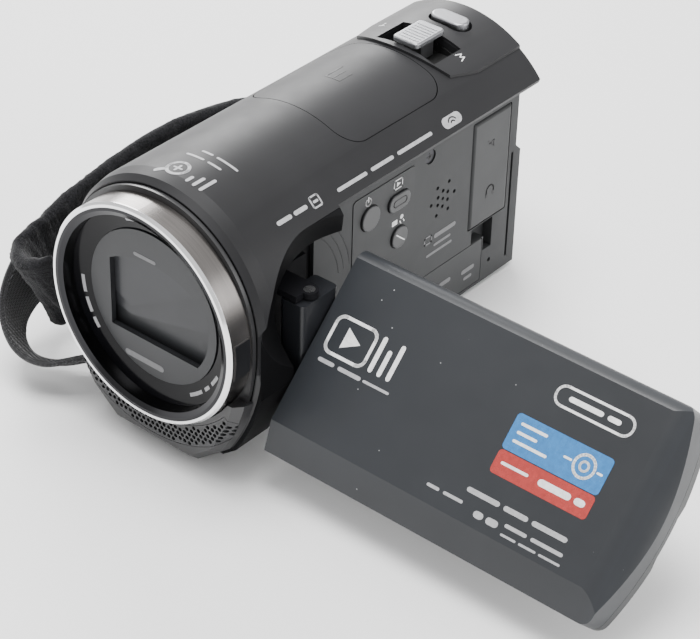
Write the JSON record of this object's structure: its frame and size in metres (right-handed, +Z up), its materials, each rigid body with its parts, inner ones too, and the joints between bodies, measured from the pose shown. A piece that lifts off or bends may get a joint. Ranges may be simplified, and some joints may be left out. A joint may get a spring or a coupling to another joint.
{
  "type": "palm camcorder",
  "caption": "Palm-size camcorder with a round casing, hand strap and a side screen that swings out and turns over; covers, buttons, lens barrier and battery move.",
  "frame": {"origin": "centre of the tripod socket's mouth on the flat base, straight under the lens axis", "axes": "+Z up, lens looks along -Y, open screen on the +X side, hand strap on the -X side"},
  "size_m": [0.1627, 0.121, 0.0683],
  "materials": {
    "casing_dark": "satin",
    "shoe_cover_dark": "satin",
    "deck_dark": "semi-gloss",
    "wall_grey": "fine matte texture",
    "base_black": "matte",
    "plate_grey": "matte",
    "wall_cover": "matte",
    "hinge_cover_dark": "satin",
    "rear_black": "matte",
    "bezel_black": "gloss",
    "mic_grille": "perforated",
    "screen_cover": "satin paint",
    "screen_frame": "satin",
    "screen_glass": "gloss",
    "module_steel": "plain",
    "ring_chrome": "polished rim, brushed side",
    "badge_black": "gloss",
    "name_ring_gloss": "high gloss",
    "barrier_grey": "matte",
    "blade_grey": "matte",
    "blade_dark": "matte",
    "barrier_black": "matte",
    "lens_glass": "coated",
    "barrel_black": "matte",
    "sensor_glass": "gloss",
    "board": "solder mask",
    "button_dark": "satin",
    "start_button": "satin metallic",
    "button_silver": "satin",
    "lever_silver": "brushed",
    "tray_black": "matte",
    "shoe_steel": "brushed",
    "speaker": "matte",
    "microphone": "plain",
    "jack_black": "matte",
    "jack_steel": "plain",
    "battery_black": "fine matte texture",
    "terminal_brass": "plain",
    "release_grey": "matte",
    "socket_steel": "turned",
    "chassis_steel": "plain",
    "screw_steel": "black zinc",
    "bracket_steel": "black",
    "pin_steel": "plain",
    "knuckle_black": "satin",
    "shaft_steel": "plain",
    "webbing": "woven nylon",
    "pad_fabric": "brushed loop",
    "anchor_black": "satin"
  },
  "bodies": {
    "camcorder_body": {"accessory_shoe": "shoe_steel", "barrier_base": "barrier_black", "barrier_frame": "barrier_grey", "battery_terminal": "terminal_brass", "bottom_cover": "base_black", "button_plate": "plate_grey", "card_slot": "jack_steel", "case_screws": "screw_steel", "chassis": "chassis_steel", "focus_lens_group": "lens_glass", "front_bezel": "bezel_black", "front_lens": "lens_glass", "headphone_jack": "jack_black", "hinge_bracket": "bracket_steel", "hinge_cover": "hinge_cover_dark", "hinge_pins": "pin_steel", "image_sensor": "sensor_glass", "left_side_panel": "wall_grey", "lens_barrel": "barrel_black", "lens_ring": "ring_chrome", "lever_tray": "tray_black", "main_board": "board", "mic_grille": "mic_grille", "microphones": "microphone", "multi_port": "jack_steel", "name_ring": "name_ring_gloss", "rear_cover": "rear_black", "right_cover": "casing_dark", "ring_badge": "badge_black", "sensor_board": "board", "shoe_tray": "tray_black", "speaker_unit": "speaker", "strap_anchor_front": "anchor_black", "strap_anchor_rear": "anchor_black", "strap_pad": "pad_fabric", "strap_webbing": "webbing", "switch_board": "board", "top_deck": "deck_dark", "top_shell": "casing_dark", "tripod_socket": "socket_steel", "zoom_lens_group": "lens_glass"},
    "screen_hinge": {"hinge_knuckle": "knuckle_black"},
    "tilt_shaft": {"tilt_shaft": "shaft_steel"},
    "screen_panel": {"panel_cover": "screen_cover", "panel_bezel": "screen_frame", "lcd_screen": "screen_glass", "lcd_module": "module_steel"},
    "jack_cover": {"jack_cover": "wall_cover"},
    "card_cover": {"card_cover": "wall_cover"},
    "shoe_cover": {"shoe_cover": "shoe_cover_dark"},
    "zoom_lever": {"zoom_lever": "lever_silver"},
    "photo_button": {"photo_button": "button_silver"},
    "power_button": {"power_button": "button_dark"},
    "playback_button": {"playback_button": "button_dark"},
    "light_button": {"light_button": "button_dark"},
    "start_stop_button": {"start_stop_button": "start_button"},
    "battery_pack": {"battery_pack": "battery_black"},
    "battery_release": {"battery_release": "release_grey"},
    "barrier_blade_upper": {"barrier_blade_upper": "blade_grey"},
    "barrier_blade_lower": {"barrier_blade_lower": "blade_dark"}
  },
  "joints": [
    {"name": "panel_swing", "type": "hinge", "parent": "camcorder_body", "child": "screen_hinge", "pos_m": [0.0246, -0.0288, 0.025], "axis": [0, 0, 1], "range_deg": [0, 90]},
    {"name": "panel_level", "type": "hinge", "parent": "screen_hinge", "child": "tilt_shaft", "pos_m": [0.0246, -0.0269, 0.0247], "axis": [1, 0, 0], "range_deg": [0, 44.75]},
    {"name": "panel_tilt", "type": "hinge", "parent": "tilt_shaft", "child": "screen_panel", "pos_m": [0.0271, -0.0269, 0.0247], "axis": [1, 0, 0], "range_deg": [-45, 180]},
    {"name": "jack_cover_turn", "type": "hinge", "parent": "camcorder_body", "child": "jack_cover", "pos_m": [0.0156, 0.05445, 0.0329], "axis": [0, 0, -1], "range_deg": [-110, 0]},
    {"name": "card_cover_turn", "type": "hinge", "parent": "camcorder_body", "child": "card_cover", "pos_m": [0.0156, 0.0304, 0.0015], "axis": [0, -1, 0], "range_deg": [-90, 0]},
    {"name": "shoe_cover_turn", "type": "hinge", "parent": "camcorder_body", "child": "shoe_cover", "pos_m": [-0.01545, 0.0116, 0.0615], "axis": [0, -1, 0], "range_deg": [0, 100]},
    {"name": "zoom_slide", "type": "slide", "parent": "camcorder_body", "child": "zoom_lever", "axis": [1, 0, 0], "range_m": [-0.003, 0.003], "stiffness_N_per_m": 200},
    {"name": "photo_press", "type": "slide", "parent": "camcorder_body", "child": "photo_button", "axis": [0, 0, -1], "range_m": [0, 0.0005], "stiffness_N_per_m": 1500},
    {"name": "power_press", "type": "slide", "parent": "camcorder_body", "child": "power_button", "axis": [-1, 0, 0], "range_m": [0, 0.0005], "stiffness_N_per_m": 1500},
    {"name": "playback_press", "type": "slide", "parent": "camcorder_body", "child": "playback_button", "axis": [-1, 0, 0], "range_m": [0, 0.0005], "stiffness_N_per_m": 1500},
    {"name": "light_press", "type": "slide", "parent": "camcorder_body", "child": "light_button", "axis": [-1, 0, 0], "range_m": [0, 0.0005], "stiffness_N_per_m": 1500},
    {"name": "start_stop_press", "type": "slide", "parent": "camcorder_body", "child": "start_stop_button", "axis": [0, -1, 0], "range_m": [0, 0.0005], "stiffness_N_per_m": 1500},
    {"name": "battery_removal", "type": "slide", "parent": "camcorder_body", "child": "battery_pack", "axis": [0, 1, 0], "range_m": [0, 0.02]},
    {"name": "release_slide", "type": "slide", "parent": "camcorder_body", "child": "battery_release", "axis": [1, 0, 0], "range_m": [0, 0.003], "stiffness_N_per_m": 300},
    {"name": "barrier_upper_slide", "type": "slide", "parent": "camcorder_body", "child": "barrier_blade_upper", "axis": [0, 0, 1], "range_m": [0, 0.0124]},
    {"name": "barrier_lower_slide", "type": "slide", "parent": "camcorder_body", "child": "barrier_blade_lower", "axis": [0, 0, -1], "range_m": [0, 0.0052]}
  ],
  "couplings": [
    {"joint": "panel_level", "follows": "panel_swing", "ratio": 0.49722},
    {"joint": "barrier_lower_slide", "follows": "barrier_upper_slide", "ratio": 0.419}
  ]
}
